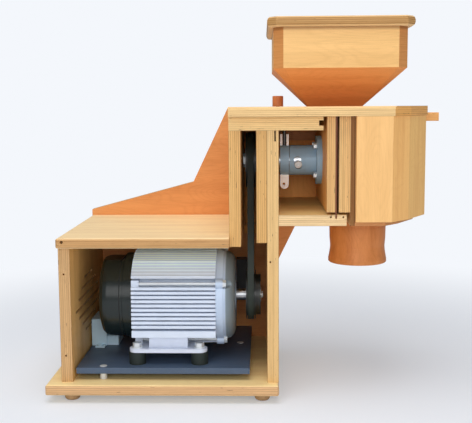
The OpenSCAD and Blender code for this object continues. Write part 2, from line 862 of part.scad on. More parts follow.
module lock_screw() {
  head_r0 = sleeve_d / 2 + seat;
  color(zinc) difference() {
    union() {
      radial(screw_x, screw_tilt, ball_bearing_d / 2 - 2.5, head_r0 + 1, screw_shank_r);
      radial(screw_x, screw_tilt, head_r0, housing_d / 2 + 2, screw_head_d / 2);
    }
    translate([screw_x, 0, axis_z]) rotate([screw_tilt, 0, 0]) rotate([90, 0, 0])
      translate([0, 0, housing_d / 2]) cylinder(d = 5, h = 5, $fn = 6);
  }
}

module mill_shaft() {
  color(zinc) {
    rod_x(shaft_start, 0, axis_z, mill_shaft_d / 2, shaft_end - shaft_start);
  }
}

// Flat-bottomed belt pulley with a flange on each side
module pulley(x, y, z, belt_r, bore_r) {
  color(steel_grey) translate([x, y, z]) rotate([0, 90, 0]) difference() {
    union() {
      cylinder(r = belt_r - belt_t - seat, h = pulley_w);
      for (h = [0, pulley_w - pulley_flange_t]) {
        translate([0, 0, h]) cylinder(r = belt_r - 0.6, h = pulley_flange_t);
      }
    }
    translate([0, 0, -1]) cylinder(r = bore_r, h = pulley_w + 2);
  }
}

// The mill pulley's hub stands out a little on each side
mill_pulley_x = belt_x - pulley_w / 2;
hub_r = 19.5;
hub_out = 1.3;
module mill_pulley() {
  pulley(mill_pulley_x, 0, axis_z, mill_belt_r, mill_shaft_d / 2 + fit);
  color(zinc) difference() {
    rod_x(mill_pulley_x - hub_out, 0, axis_z, hub_r, pulley_w + 2 * hub_out);
    rod_x(mill_pulley_x - 3, 0, axis_z, mill_shaft_d / 2 + fit, pulley_w + 6);
  }
}

nut_t = 3;
module pulley_nut() {
  color(zinc) translate([mill_pulley_x - hub_out - nut_t, 0, axis_z]) rotate([0, 90, 0]) difference() {
    cylinder(d = mill_shaft_d + 7, h = nut_t, $fn = 6);
    translate([0, 0, -1]) cylinder(r = mill_shaft_d / 2 + fit, h = 7);
  }
}

module fixed_stone() {
  color([0.80, 0.78, 0.72]) difference() {
    rod_x(fixed_x, 0, axis_z, stone_d / 2, fixed_stone_t);
    rod_x(fixed_x - 1, 0, axis_z, stone_eye_d / 2, fixed_stone_t + 2);
    furrows(fixed_x + fixed_stone_t - furrow_depth, 8);
  }
}

furrow_depth = 1.5;
furrow_count = 10;
module furrows(x, lean) {
  for (i = [0 : furrow_count - 1]) {
    translate([x, 0, axis_z]) rotate([i * 360 / furrow_count, 0, 0])
      block([0, lean, 14], [furrow_depth + 1, lean + 4, stone_d / 2 - 6]);
  }
}

module rotating_stone() {
  color([0.80, 0.78, 0.72]) difference() {
    rod_x(rotating_x, 0, axis_z, stone_d / 2, rotating_stone_t);
    rod_x(rotating_x - 1, 0, axis_z, mill_shaft_d / 2 + fit, rotating_stone_t + 2);
    furrows(rotating_x - 1, -12);
  }
}

module stone_nut() {
  color(zinc) difference() {
    union() {
      rod_x(nut_x, 0, axis_z, 22, 3);
      translate([nut_x + 3, 0, axis_z]) rotate([0, 90, 0])
        cylinder(d = 30, h = stone_nut_w - 3, $fn = 6);
    }
    rod_x(nut_x - 1, 0, axis_z, mill_shaft_d / 2 + fit, stone_nut_w + 2);
  }
}

// Points round two circles in the plane of the belt, the mill's and the motor's
function belt_points(r0, r1) =
  let (
    line = [motor_y, motor_z - axis_z],
    heading = atan2(line.y, line.x),
    wrap = acos((r0 - r1) / norm(line))
  )
  concat(
    [for (i = [0 : 60]) let (a = heading + wrap + i * (360 - 2 * wrap) / 60)
      [r0 * cos(a), axis_z + r0 * sin(a)]],
    [for (i = [0 : 60]) let (a = heading - wrap + i * 2 * wrap / 60)
      [motor_y + r1 * cos(a), motor_z + r1 * sin(a)]]
  );

module belt() {
  color(black) translate([belt_x - belt_w / 2, 0, 0]) rotate([90, 0, 90])
    linear_extrude(height = belt_w) difference() {
      polygon(belt_points(mill_belt_r, motor_belt_r));
      polygon(belt_points(mill_belt_r - belt_t, motor_belt_r - belt_t));
    }
}

disc_x = motor_pulley_x + pulley_w;
disc_r = motor_belt_r - 7.5;
module motor_pulley() {
  pulley(motor_pulley_x, motor_y, motor_z, motor_belt_r, motor_shaft_d / 2 + fit);
  color(black) difference() {
    rod_x(disc_x, motor_y, motor_z, disc_r, disc_w);
    rod_x(disc_x - 1, motor_y, motor_z, motor_shaft_d / 2 + fit, disc_w + 2);
    rod_x(disc_x + 5, motor_y, motor_z, disc_r - 4, disc_w);
  }
}

module pulley_bolt() {
  bolt_x = disc_x + disc_w - 0.5;
  color(zinc) {
    rod_x(bolt_x, motor_y, motor_z, 12, 1.5);
    translate([bolt_x + 1.5, motor_y, motor_z]) rotate([0, 90, 0])
      cylinder(d = 11, h = 3, $fn = 6);
  }
}

fan_x = cowl_x + 9;
module motor_shaft() {
  color(zinc) rod_x(fan_x, motor_y, motor_z, motor_shaft_d / 2, disc_x + disc_w - 0.5 - fan_x);
}

// The stator in the plane across its shaft: front to the left, fins on all sides
core_r = stator_r - fin_depth;
fin_top = 25;
front_fins = 10;
top_fins = 6;
rail_z = -54;
rail_h = 10.6;
band_z = 41;
fin_root = 16;
module fin(at, reach) {
  translate([-reach, at - fin_t / 2]) square([reach - core_r + fin_root, fin_t]);
}

module stator_section() {
  corner = stator_r * [[-0.935, 0.59], [-0.845, 0.69], [-0.65, 0.845], [-0.285, 0.975]];
  circle(r = core_r, $fn = 96);
  for (turn = [0, 180]) {
    rotate(turn) {
      polygon(concat([[0, 0], [-core_r + fin_root - 2, band_z], [-stator_r + 3, band_z]], corner,
        [[0, stator_r - 1]]));
      translate([-stator_r, rail_z]) square([core_r - fin_root - 1, rail_h]);
      for (i = [0 : front_fins - 1]) {
        fin(fin_top - i * fin_pitch, stator_r);
      }
      rotate(-90) for (i = [0 : top_fins - 1]) {
        fin(i * fin_pitch - 14, stator_r - 1);
      }
    }
  }
}

// The four tie bolts run in the wide gaps between the fins
tie_out = 68;
tie_up = 31.5;
tie_r = 3;
tie_boss_len = 12;
tie_boss_w = 12;
tie_boss_reach = 26;
module stator_housing() {
  color(cast) translate([stator_x, motor_y, motor_z]) rotate([90, 0, 90]) {
    linear_extrude(height = stator_len) difference() {
      stator_section();
      circle(r = motor_shaft_d / 2 + 1);
    }
    for (turn = [0 : 90 : 270]) {
      rotate(turn) difference() {
        translate([-tie_out - 5, tie_up - tie_boss_w / 2, 0])
          cube([tie_boss_reach, tie_boss_w, tie_boss_len]);
        translate([-tie_out, tie_up, 4]) cylinder(r = tie_r + fit, h = tie_boss_len);
      }
    }
  }
}

// Runs its child at each of the four tie bolts
module at_ties(x) {
  for (turn = [0 : 90 : 270]) {
    translate([x, motor_y, motor_z]) rotate([turn, 0, 0]) translate([0, -tie_out, tie_up])
      rotate([0, 90, 0]) children();
  }
}

shield_hub_r = 24;
shield_dish_r = 34;
shield_dish = 4;
module end_shield() {
  end_z = shield_t + bell_t;
  ring_r = stator_r - 1;
  bell_r = ring_r - 3;
  bell = [for (t = [0 : 0.125 : 1])
    curve([bell_r, shield_t], [bell_r - 1, shield_t + bell_t - 2], [bell_r - 16, shield_t + bell_t], t)];
  color(cast) difference() {
    union() {
      translate([stator_end, motor_y, motor_z]) rotate([0, 90, 0]) rotate_extrude($fn = 96)
        polygon(concat([[0, 0], [ring_r, 0], [ring_r, shield_t]], bell,
        [[shield_dish_r + 6, end_z], [shield_dish_r, end_z - shield_dish],
          [shield_hub_r, end_z - shield_dish], [shield_hub_r - 2, end_z + 1], [0, end_z + 1]]));
      at_ties(stator_end) cylinder(r = 8, h = shield_t);
    }
    rod_x(stator_end - 1, motor_y, motor_z, motor_shaft_d / 2 + running, shield_t + bell_t + 4);
    at_ties(stator_end - 1) cylinder(r = tie_r + seat, h = shield_t + 2);
    at_ties(stator_end + shield_t) cylinder(r = 7.5, h = bell_t);
  }
}

module tie_bolts() {
  color(zinc) {
    at_ties(stator_x + 4) cylinder(r = tie_r, h = stator_len + shield_t - 4);
    at_ties(stator_end + shield_t) cylinder(d = 12, h = 5, $fn = 6);
  }
}

// Fan cowl with a rear shield behind the fan
cowl_step = 16;
cowl_flat = cowl_r - 5.5;
cowl_edge = 12;
cowl_wall = 4;
module fan_cowl() {
  step_z = cowl_len - cowl_step;
  color(black) translate([cowl_x, motor_y, motor_z]) rotate([0, 90, 0]) difference() {
    rotate_extrude($fn = 96) polygon([[0, 0], [cowl_r - cowl_edge, 0], [cowl_r - 5, 2.5],
      [cowl_r - 1.5, 7], [cowl_r, 13], [cowl_r + 0.6, step_z - 0.7], [cowl_r - 0.6, step_z - 0.7],
      [cowl_r - 0.6, step_z + 0.7], [cowl_r + 2, step_z + 0.7], [cowl_r + 2, cowl_len],
      [0, cowl_len]]);
    translate([-cowl_r - 5, -cowl_r, -1]) cube([cowl_r + 5 - cowl_flat, 2 * cowl_r, step_z]);
    intersection() {
      translate([0, 0, cowl_wall + 1]) cylinder(r = cowl_r - cowl_wall, h = step_z - cowl_wall - 1);
      translate([cowl_wall - 1 - cowl_flat, -cowl_r, 0]) cube([2 * cowl_r, 2 * cowl_r, step_z]);
    }
    translate([0, 0, 1]) cylinder(r = motor_shaft_d / 2 + running, h = cowl_len);
    for (ring = [0 : 3]) {
      for (turn = [0 : 30 : 330]) {
        rotate(turn) translate([18 + ring * 9.5, -2.6 - ring * 1.2, -1])
          cube([5.5, 5.2 + ring * 2.4, 8]);
      }
    }
  }
}

// Fan with eight blades between its hub and its disc
fan_w = 24;
fan_hub_r = 16;
fan_disc_t = 3;
blade_t = 2.4;
module fan() {
  fan_r = cowl_r - 9;
  blade_x = fan_hub_r - 6;
  color(black) translate([fan_x - fan_disc_t, motor_y, motor_z]) rotate([0, 90, 0]) difference() {
    union() {
      cylinder(r = fan_hub_r, h = fan_w);
      translate([0, 0, fan_w - fan_disc_t]) cylinder(r = fan_r, h = fan_disc_t);
      for (turn = [0 : 45 : 315]) {
        rotate(turn) translate([blade_x, -blade_t / 2, 2])
          cube([fan_r - 1 - blade_x, blade_t, fan_w - fan_disc_t]);
      }
    }
    translate([0, 0, fan_disc_t]) cylinder(r = motor_shaft_d / 2 + fit, h = fan_w);
  }
}

// Two feet, each a pad with round ends and a web up to the stator
module motor_feet() {
  pad_top = foot_t - motor_shaft_h;
  boss_r = foot_w / 2 - buffer_y;
  web_len = 62;
  color(cast) for (side = [-1, 1]) {
    translate([foot_mid_x, motor_y, motor_z]) {
      difference() {
        union() {
          translate([-foot_hole_x / 2, min(side * 28, side * foot_w / 2), -motor_shaft_h])
            cube([foot_hole_x, foot_w / 2 - 28, foot_t]);
          for (x = [-foot_hole_x / 2, foot_hole_x / 2]) {
            translate([x, side * buffer_y, -motor_shaft_h]) cylinder(r = boss_r, h = foot_t);
          }
        }
        for (x = [-foot_hole_x / 2, foot_hole_x / 2]) {
          translate([x, side * buffer_y, -motor_shaft_h - 1])
            cylinder(r = foot_bolt_r + 0.5, h = foot_t + 2);
        }
      }
      translate([-web_len / 2, 0, 0]) rotate([90, 0, 90]) linear_extrude(height = web_len)
        difference() {
          translate([min(side * 44, side * 64), pad_top - eps]) square([20, rail_z - pad_top + eps]);
          stator_section();
        }
    }
  }
}

// Runs its child at each of the four foot holes
module at_feet(z) {
  for (x = [-foot_hole_x / 2, foot_hole_x / 2]) {
    for (y = [-buffer_y, buffer_y]) {
      translate([foot_mid_x + x, motor_y + y, z]) children();
    }
  }
}

module foot_bolts() {
  bolt_depth = 9;
  color(zinc) {
    at_feet(motor_foot_z - bolt_depth) cylinder(r = foot_bolt_r, h = bolt_depth + foot_t);
    at_feet(motor_foot_z + foot_t) cylinder(r = foot_bolt_r * 2.25, h = 1.6);
    at_feet(motor_foot_z + foot_t + 1.6) cylinder(r = foot_bolt_r * 1.9, h = 6.5, $fn = 6);
  }
}

module rubber_buffers() {
  color(black) at_feet(plate_top) difference() {
    cylinder(d = buffer_d, h = buffer_h);
    translate([0, 0, buffer_h - 10]) cylinder(r = foot_bolt_r + fit, h = 11);
  }
}

// Three standoffs carry the steel plate
plate_from_wall = 3.5;
plate_x = wall_x + upright_t + plate_from_wall;
plate_len = post_x - plate_to_post - plate_x;
plate_y = front_y + 10;
plate_bolt_r = 3;
bolt_spots = [
  [plate_x + 41.5, plate_y + 10],
  [plate_x + 41.5, plate_y + plate_depth - 12],
  [plate_x + plate_len - 18.5, plate_y + 150]
];

module at_plate_bolts(z) {
  for (spot = bolt_spots) {
    translate([spot.x, spot.y, z]) children();
  }
}

module motor_plate() {
  color([0.30, 0.36, 0.44]) difference() {
    block([plate_x, plate_y, plate_z], [plate_x + plate_len, plate_y + plate_depth, plate_top]);
    at_plate_bolts(plate_z - 1) cylinder(r = plate_bolt_r + 0.2, h = plate_t + 2);
  }
}

module plate_standoffs() {
  color(zinc) at_plate_bolts(base_top) difference() {
    cylinder(d = 11.6, h = standoff_h);
    translate([0, 0, -1]) cylinder(r = plate_bolt_r + 0.2, h = standoff_h + 2);
  }
}

module plate_bolts() {
  color(zinc) {
    at_plate_bolts(base_top) cylinder(r = plate_bolt_r, h = standoff_h + plate_t);
    at_plate_bolts(plate_top) cylinder(r = plate_bolt_r * 1.9, h = 0.8);
  }
}

// Terminal box behind the stator, with a lid that stands out round it
terminal_w = 72;
terminal_depth = 34;
terminal_lid_t = 8;
terminal_lip = 2;
module terminal_box() {
  mid_x = foot_mid_x - terminal_lip;
  box_y = motor_y + stator_r;
  lid_y = box_y + terminal_depth;
  half = terminal_w / 2;
  lid_half = half + terminal_lip;
  color(cast) {
    block([mid_x - half, box_y, motor_z - half], [mid_x + half, lid_y, motor_z + half]);
    block([mid_x - lid_half, lid_y, motor_z - lid_half],
      [mid_x + lid_half, lid_y + terminal_lid_t, motor_z + lid_half]);
  }
}

// Capacitor box that stands on the plate beside the fan cowl
module capacitor_box() {
  color(cast) difference() {
    union() {
      block([plate_x, 0, plate_top], [plate_x + 25.5, 60, plate_top + 46.5]);
      block([plate_x + 25, 4, plate_top], [plate_x + 45.5, 56, plate_top + 16.5]);
      block([plate_x + 8, -14, plate_top], [plate_x + 24, 1, plate_top + 2.5]);
      translate([plate_x + 16, -7, plate_top]) cylinder(r = 4, h = 4.5);
    }
    block([plate_x + 12, -7.7, plate_top + 3.5], [plate_x + 20, -6.3, plate_top + 5]);
  }
}

// Rocker switch set into the back panel
switch_x = duct_x + 3;
switch_mid_z = motor_z + 2.5;
switch_z = switch_mid_z - switch_h / 2;
rocker_r = 11;
rocker_w = 12;
rocker_tilt = 8;
pivot_y = outer_y - rocker_r - 2;
module switch_body() {
  gap = 0.3;
  color(black) difference() {
    union() {
      block([switch_x + gap, back_y - 5, switch_z + gap],
        [switch_x + switch_w - gap, outer_y - 5, switch_z + switch_h - gap]);
      block([switch_x, back_y - 30, switch_mid_z - 29.5],
        [switch_x + switch_w, back_y, switch_mid_z + 29.5]);
    }
    rod_x(switch_x + (switch_w - rocker_w) / 2 - 0.4, pivot_y, switch_mid_z, rocker_r + 0.4,
      rocker_w + 0.8);
  }
}

module switch_rocker() {
  x0 = switch_x + (switch_w - rocker_w) / 2;
  color([0.55, 0.12, 0.10]) translate([0, pivot_y, switch_mid_z]) rotate([rocker_tilt, 0, 0])
    intersection() {
      rod_x(x0, 0, 0, rocker_r, rocker_w);
      translate([x0, 0, 0]) rotate([90, 0, 90]) linear_extrude(height = rocker_w)
        polygon([[-4, -12], [rocker_r - 1, -12], [rocker_r - 3.5, 0], [rocker_r - 1, 12],
          [-4, 12]]);
    }
}

// Boards that line the back of the belt duct and of the bearing chamber
lining_t = 12;
lining_h = 104;
module rear_boards() {
  lining_y = back_y - lining_t;
  color(beech) {
    block([duct_clear_x, back_y - 20, motor_roof_z - 17], [bearing_x, back_y, motor_roof_z]);
    block([duct_clear_x, lining_y, motor_roof_z], [bearing_x, back_y, chamber_top + lining_h]);
    block([base_len, lining_y, chamber_top], [flange_board_x, back_y, chamber_top + lining_h]);
  }
}

gland_d = cable_bore_d + 9;
gland_x = wall_x + upright_t + 30;
gland_z = base_top + 40;
module cable_gland() {
  color(black) difference() {
    union() {
      translate([gland_x, back_y - 10, gland_z]) rotate([-90, 0, 0])
        cylinder(d = gland_d - 0.4, h = cover_t + 10);
      translate([gland_x, back_y - 6, gland_z]) rotate([-90, 0, 0])
        cylinder(d = gland_d + 6, h = 6, $fn = 6);
    }
    translate([gland_x, back_y - 11, gland_z]) rotate([-90, 0, 0])
      cylinder(d = cable_bore_d, h = cover_t + 12);
  }
}

placed() base_board();
placed() feet();
placed() vent_wall();
placed() motor_roof_board();
placed() back_panel();
placed() duct_board();
placed() bearing_board();
placed() post_board();
placed() roof_beam();
placed() roof_board();
placed() chamber_floor();
placed() flange_board();
placed() dust_sheet();
placed() feed_board();
placed() backing_board();
placed() stone_housing();
placed() mill_floor();
placed() spout();
placed() hopper_walls();
placed() hopper_funnel();
placed() hopper_lid();
placed() lid_frame();
placed() grain_slider();
placed() slider_knob();
placed() bearing_housing();
placed() housing_bolts();
placed() sleeve();
placed() lever_collar();
placed() lever_rod();
placed() lever_grip();
placed() lock_screw();
placed() bearing_left();
placed() bearing_right();
placed() mill_shaft();
placed() mill_pulley();
placed() pulley_nut();
placed() fixed_stone();
placed() rotating_stone();
placed() stone_nut();
placed() belt();
placed() motor_pulley();
placed() pulley_bolt();
placed() motor_shaft();
placed() stator_housing();
placed() end_shield();
placed() fan_cowl();
placed() fan();
placed() tie_bolts();
placed() motor_feet();
placed() foot_bolts();
placed() rubber_buffers();
placed() motor_plate();
placed() plate_standoffs();
placed() plate_bolts();
placed() terminal_box();
placed() capacitor_box();
placed() switch_body();
placed() switch_rocker();
placed() rear_boards();
placed() cable_gland();
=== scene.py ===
import math

import bpy
from mathutils import Matrix, Vector


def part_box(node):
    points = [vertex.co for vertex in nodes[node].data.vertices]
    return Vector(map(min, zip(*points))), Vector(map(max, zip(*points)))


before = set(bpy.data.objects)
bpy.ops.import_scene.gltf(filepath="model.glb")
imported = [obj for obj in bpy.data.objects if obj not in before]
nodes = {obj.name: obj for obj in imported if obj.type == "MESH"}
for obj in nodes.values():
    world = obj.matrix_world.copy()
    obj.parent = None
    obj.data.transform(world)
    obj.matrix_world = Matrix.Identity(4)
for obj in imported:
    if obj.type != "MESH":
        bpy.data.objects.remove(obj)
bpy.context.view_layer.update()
scene = bpy.context.scene

X, Y, Z = range(3)
MM_PER_M = 1000


def shade(red, green, blue):
    """A colour named by its screen values, as the shader wants it."""
    return tuple((c / 255 / 12.92 if c < 11 else ((c / 255 + 0.055) / 1.055) ** 2.4)
                 for c in (red, green, blue)) + (1.0,)


def place_camera():
    """Workshop view of the open side, looking slightly down."""
    sensor = 36
    picture_width = 472
    focal_pixels = 868
    turn, tilt, roll = 1.78, 6.87, -0.37
    stand = (0.0252, -1.46, 0.459)
    lens = bpy.data.cameras.new("workshop_camera")
    lens.sensor_width = sensor
    lens.lens = sensor * focal_pixels / picture_width
    lens.clip_end = 50
    camera = bpy.data.objects.new("workshop_camera", lens)
    scene.collection.objects.link(camera)
    aim = (Matrix.Rotation(math.radians(turn), 4, "Z")
           @ Matrix.Rotation(math.radians(90 - tilt), 4, "X")
           @ Matrix.Rotation(math.radians(roll), 4, "Z"))
    camera.matrix_world = Matrix.Translation(stand) @ aim
    scene.camera = camera


class Flow:
    """A shader value that takes part in plain arithmetic."""

    def __init__(self, wiring, socket):
        self.wiring = wiring
        self.socket = socket

    def __add__(self, other):
        return self.wiring.maths("ADD", self, other)

    def __sub__(self, other):
        return self.wiring.maths("SUBTRACT", self, other)

    def __rsub__(self, other):
        return self.wiring.maths("SUBTRACT", other, self)

    def __mul__(self, other):
        return self.wiring.maths("MULTIPLY", self, other)

    def __truediv__(self, other):
        return self.wiring.maths("DIVIDE", self, other)

    def __pow__(self, other):
        return self.wiring.maths("POWER", self, other)

    def __abs__(self):
        return self.wiring.maths("ABSOLUTE", self)

    __radd__ = __add__
    __rmul__ = __mul__


class Wiring:
    """The nodes of a finish or of the studio's light."""

    def __init__(self, owner):
        owner.use_nodes = True
        self.tree = owner.node_tree
        self.tree.nodes.clear()

    def node(self, kind, settings=None, **sockets):
        """One node, with its settings first and then what goes into its sockets."""
        made = self.tree.nodes.new("ShaderNode" + kind)
        for key, value in (settings or {}).items():
            setattr(made, key, value)
        for key, value in sockets.items():
            self.feed(self.find(made, key), value)
        return made

    def feed(self, socket, value):
        """Links a value to a socket, or sets the socket to a plain number or colour."""
        if isinstance(value, Flow):
            value = value.socket
        if isinstance(value, bpy.types.NodeSocket):
            self.tree.links.new(value, socket)
        else:
            socket.default_value = value

    @staticmethod
    def find(made, key):
        for socket in made.inputs:
            if key in (socket.identifier, socket.name.replace(" ", "_")):
                return socket
        raise KeyError(key)

    def maths(self, operation, *values):
        made = self.node("Math", {"operation": operation})
        for socket, value in zip(made.inputs, values):
            self.feed(socket, value)
        return Flow(self, made.outputs[0])


class Finish(Wiring):
    """A material under construction; its patterns are sized in millimetres."""

    def __init__(self, name):
        self.material = bpy.data.materials.new(name)
        super().__init__(self.material)
        coords = self.node("TexCoord")
        self.place = coords.outputs["Object"]
        self.facing = coords.outputs["Normal"]

    def axes(self, vector):
        split = self.node("SeparateXYZ", Vector=vector)
        return [Flow(self, out) for out in split.outputs]

    def noise(self, size, detail=2, rough=0.5, shift=(0, 0, 0)):
        """Cloudy pattern; size is one length, or one along each axis."""
        lengths = size if isinstance(size, tuple) else (size,) * 3
        spread = self.node("VectorMath", {"operation": "MULTIPLY_ADD"}, Vector=self.place,
                           Vector_001=tuple(MM_PER_M / length for length in lengths),
                           Vector_002=shift)
        made = self.node("TexNoise", Vector=spread.outputs[0], Scale=1.0, Detail=detail,
                         Roughness=rough)
        return Flow(self, made.outputs["Fac"])

    def ease(self, value, low, high):
        """Soft step from 0 at low to 1 at high."""
        made = self.node("MapRange", {"interpolation_type": "SMOOTHSTEP"}, Value=value,
                         From_Min=low, From_Max=high)
        return Flow(self, made.outputs[0])

    def clamped(self, value):
        """The value kept between 0 and 1."""
        return self.maths("MINIMUM", self.maths("MAXIMUM", value, 0.0), 1.0)

    def from_step(self, count):
        """0 in the middle of each whole step of count, 0.5 where one meets the next."""
        return abs(self.maths("FRACT", count) - 0.5)

    def square_on(self, axis):
        """1 where the surface lies square across an axis."""
        return self.ease(abs(self.axes(self.facing)[axis]), 0.6, 0.85)

    def off_middle(self, piece):
        """Distance in y, in z and in all from the middle line of a piece along X."""
        low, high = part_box(piece)
        place = self.axes(self.place)
        across, up = ((place[axis] - (low[axis] + high[axis]) / 2) * MM_PER_M
                      for axis in (Y, Z))
        return across, up, (across * across + up * up) ** 0.5

    def mix(self, first, second, share):
        made = self.node("Mix", {"data_type": "RGBA"}, Factor_Float=share,
                         A_Color=first, B_Color=second)
        return made.outputs[2]

    def tint(self, colour, amount):
        """The colour made lighter or darker by an amount round one."""
        if isinstance(colour, tuple):
            colour = colour[:3]
        made = self.node("VectorMath", {"operation": "SCALE"}, Vector=colour, Scale=amount)
        return made.outputs[0]

    def done(self, relief, depth, strength, **sockets):
        """Closes the finish with a shader and its relief."""
        shader = self.node("BsdfPrincipled", **sockets)
        bump = self.node("Bump", Height=relief, Strength=strength, Distance=depth)
        self.feed(shader.inputs["Normal"], bump.outputs[0])
        self.node("OutputMaterial", Surface=shader.outputs[0])
        return self.material


def dress(material, *names):
    """Puts the finish in every slot of the named pieces."""
    for name in names:
        mesh = nodes[name].data
        if not mesh.materials:
            mesh.materials.append(material)
        for i in range(len(mesh.materials)):
            mesh.materials[i] = material


# Wood

PLY_PITCH = 1.5
FLECK = shade(150, 92, 50)
RED_FLECK = shade(110, 55, 28)
# Dark brown of the glue lines, also used for the painted shadow under the hopper lid.
GLUE_AND_SHADE = shade(112, 70, 34)
CRACK = shade(72, 40, 18)
PALE_FACE = (240, 198, 138)


def tones(red, green, blue, spread=1.0):
    """A lighter and a darker tone on either side of a wood colour."""
    up, down = 12 * spread, 28 * spread
    return (shade(min(red + up, 255), green + up, blue + up * 0.9),
            shade(red - down, green - down * 1.1, blue - down))


def drawn_out(axis, length, width):
    """Size of a pattern: one length along an axis, another across it."""
    return tuple(length if each == axis else width for each in (X, Y, Z))


def figure(f, bands_size, pores_size, lines_size, rays_size, shift):
    """Beech face: broad bands, fine contour lines, pores and short ray flecks."""
    lines_per_step = 22
    bands = f.ease(f.noise(bands_size, shift=shift), 0.3, 0.72)
    pores = f.noise(pores_size, 3, 0.6, shift)
    slow = f.noise(lines_size, 1, shift=shift)
    lines = f.ease(f.from_step(slow * lines_per_step), 0.2, 0.5)
    rays = f.ease(f.noise(rays_size, 1, shift=shift), 0.68, 0.76)
    return bands * 0.42 + lines * 0.13 + (pores - 0.5) * 0.9, pores, rays


def face_colour(f, grain, seed, light, dark, fleck=FLECK):
    """Board face with its grain along one axis: its colour and its relief."""
    share, pores, rays = figure(f, drawn_out(grain, 300, 24), drawn_out(grain, 30, 0.9),
                                drawn_out(grain, 190, 46), drawn_out(grain, 3, 0.5),
                                (seed * 7.3, seed * 3.1, seed * 5.7))
    colour = f.mix(light, dark, f.clamped(share))
    return f.mix(colour, fleck, rays * 0.3), pores - rays * 0.5


def layer_colour(f, across, piece, light, dark, seed):
    """Ply edge: long and end grain layers in turn, dark glue lines, short voids, and a darker
    line along both outer faces of the board.
    """
    low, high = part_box(piece)
    start, end = low[across] * MM_PER_M, high[across] * MM_PER_M
    middle, half = (start + end) / 2, (end - start) / 2
    height = f.axes(f.place)[across] * MM_PER_M
    wobble = f.noise(83.3) - 0.5
    count = (height - start) / PLY_PITCH + wobble * 0.3
    line = f.ease(f.from_step(count), 0.36, 0.5)
    turn = f.ease(f.from_step(count / 2), 0.22, 0.28)
    own = f.node("TexWhiteNoise", {"noise_dimensions": "1D"},
                 W=f.maths("FLOOR", count) + seed * 17)
    tone = Flow(f, own.outputs["Value"])
    streak = f.noise(drawn_out(across, 0.8, 50), 3, 0.65, (seed, seed * 2, seed * 3))
    ticks = f.noise(drawn_out(across, 3, 0.5), 1)
    share = turn * 0.62 + (tone - 0.5) * 0.5 + (streak - 0.5) * 0.8 + (ticks - 0.5) * turn * 0.5
    colour = f.mix(light, dark, f.clamped(share))
    colour = f.mix(colour, GLUE_AND_SHADE, line * f.ease(streak, 0.3, 0.65) * 0.8)
    void = f.ease(f.noise(drawn_out(across, 1.3, 16), shift=(seed * 4, 9, seed)), 0.7, 0.74)
    colour = f.mix(colour, CRACK, void * 0.85)
    arris = f.ease(abs(height - middle), half - 1.1, half - 0.3)
    return f.mix(colour, GLUE_AND_SHADE, arris * 0.45), streak - line * 0.5 - void


def waxed(f, colour, relief, rough=0.42, sway=0.12):
    """Thinly waxed wood, a little duller where the pores are open."""
    pore_depth = 0.0003
    return f.done(relief, pore_depth, 0.25, Base_Color=colour, Roughness=relief * sway + rough,
                  Specular_IOR_Level=0.3)


def sawn_across(f, pores, *colour):
    """Cut end of a board, where only the pores show."""
    return f.mix(*tones(*colour), f.clamped(pores * 1.4 - 0.3))


def ply(name, piece, across, grain, edge, face=PALE_FACE, seed=1):
    """Board whose layers lie across one axis and whose face grain runs along another."""
    f = Finish(name)
    face_tone, face_relief = face_colour(f, grain, seed, *tones(*face, 0.8))
    side, side_relief = layer_colour(f, across, piece, *tones(*edge), seed)
    flat = f.square_on(across)
    relief = face_relief * flat + side_relief * (1 - flat)
    dress(waxed(f, f.mix(side, face_tone, flat), relief), piece)


def solid_beech(name, piece, grain, colour, seed, spread=1.0):
    """Solid wood, with its grain along one axis."""
    f = Finish(name)
    tone, relief = face_colour(f, grain, seed, *tones(*colour, spread), RED_FLECK)
    dress(waxed(f, tone, relief, sway=0.1), piece)


def hopper_wall_ply():
    """The grain runs round the walls, the bevelled corners cut the layers, and a painted shadow
    of the lid darkens the top of the walls.
    """
    shadow_start, shadow_end = 0.007, 0.002
    f = Finish("hopper_wall_ply")
    share, pores, rays = figure(f, (280, 280, 16), (34, 34, 0.9), (240, 240, 60), (3, 3, 0.5),
                                (31, 12, 44))
    colour = f.mix(*tones(238, 188, 118, 0.8), f.clamped(share))
    colour = f.mix(colour, FLECK, rays * 0.25)
    east, north, _ = f.axes(f.facing)
    bevel = f.ease(f.maths("MINIMUM", abs(east), abs(north)), 0.35, 0.55)
    colour = f.mix(colour, sawn_across(f, pores, 214, 146, 80), bevel)
    height = f.axes(f.place)[Z]
    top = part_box("hopper_walls")[1][Z]
    # Painted shadow: the top few millimetres of the walls are darkened where the lid's overhang
    # would shade them.
    lid_shadow_mask = f.ease(height, top - shadow_start, top - shadow_end)
    colour = f.mix(colour, GLUE_AND_SHADE, lid_shadow_mask * 0.6)
    colour = f.mix(colour, sawn_across(f, pores, 214, 166, 106), f.square_on(Z))
    dress(waxed(f, colour, pores, 0.4), "hopper_walls")


def stone_housing_ply():
    """Upright staves, each cut from its own board, told apart by how they face; the right-facing
    ones are painted lighter and more orange as painted light, since less light falls on them.
    """
    f = Finish("stone_housing_ply")
    east = f.axes(f.facing)[X]
    second = f.ease(east, 0.3, 0.5)
    third = f.ease(east, 0.80, 0.83)
    end = f.ease(east, 0.92, 0.96)
    share, pores, rays = figure(f, (22, 22, 260), (0.9, 0.9, 30), (52, 52, 150), (0.5, 0.5, 3),
                                (23, 46, 69))
    stripes = f.noise((5, 5, 400), shift=(3, 1, 2))
    share = f.clamped(share + (stripes - 0.55) * second * 1.2)
    colour = f.mix(*tones(240, 188, 120, 0.6), share)
    # Painted light: the right-facing staves get a lifted tone in place of the light that falls
    # less on them.
    for stave, board in ((second, (255, 188, 112)), (third, (255, 193, 114)),
                         (end, (255, 190, 112))):
        colour = f.mix(colour, f.mix(*tones(*board, 0.8), share), stave)
    colour = f.mix(colour, FLECK, rays * 0.25)
    colour = f.mix(colour, sawn_across(f, pores, 206, 152, 94), f.square_on(Z))
    dress(waxed(f, colour, pores, 0.4), "stone_housing")


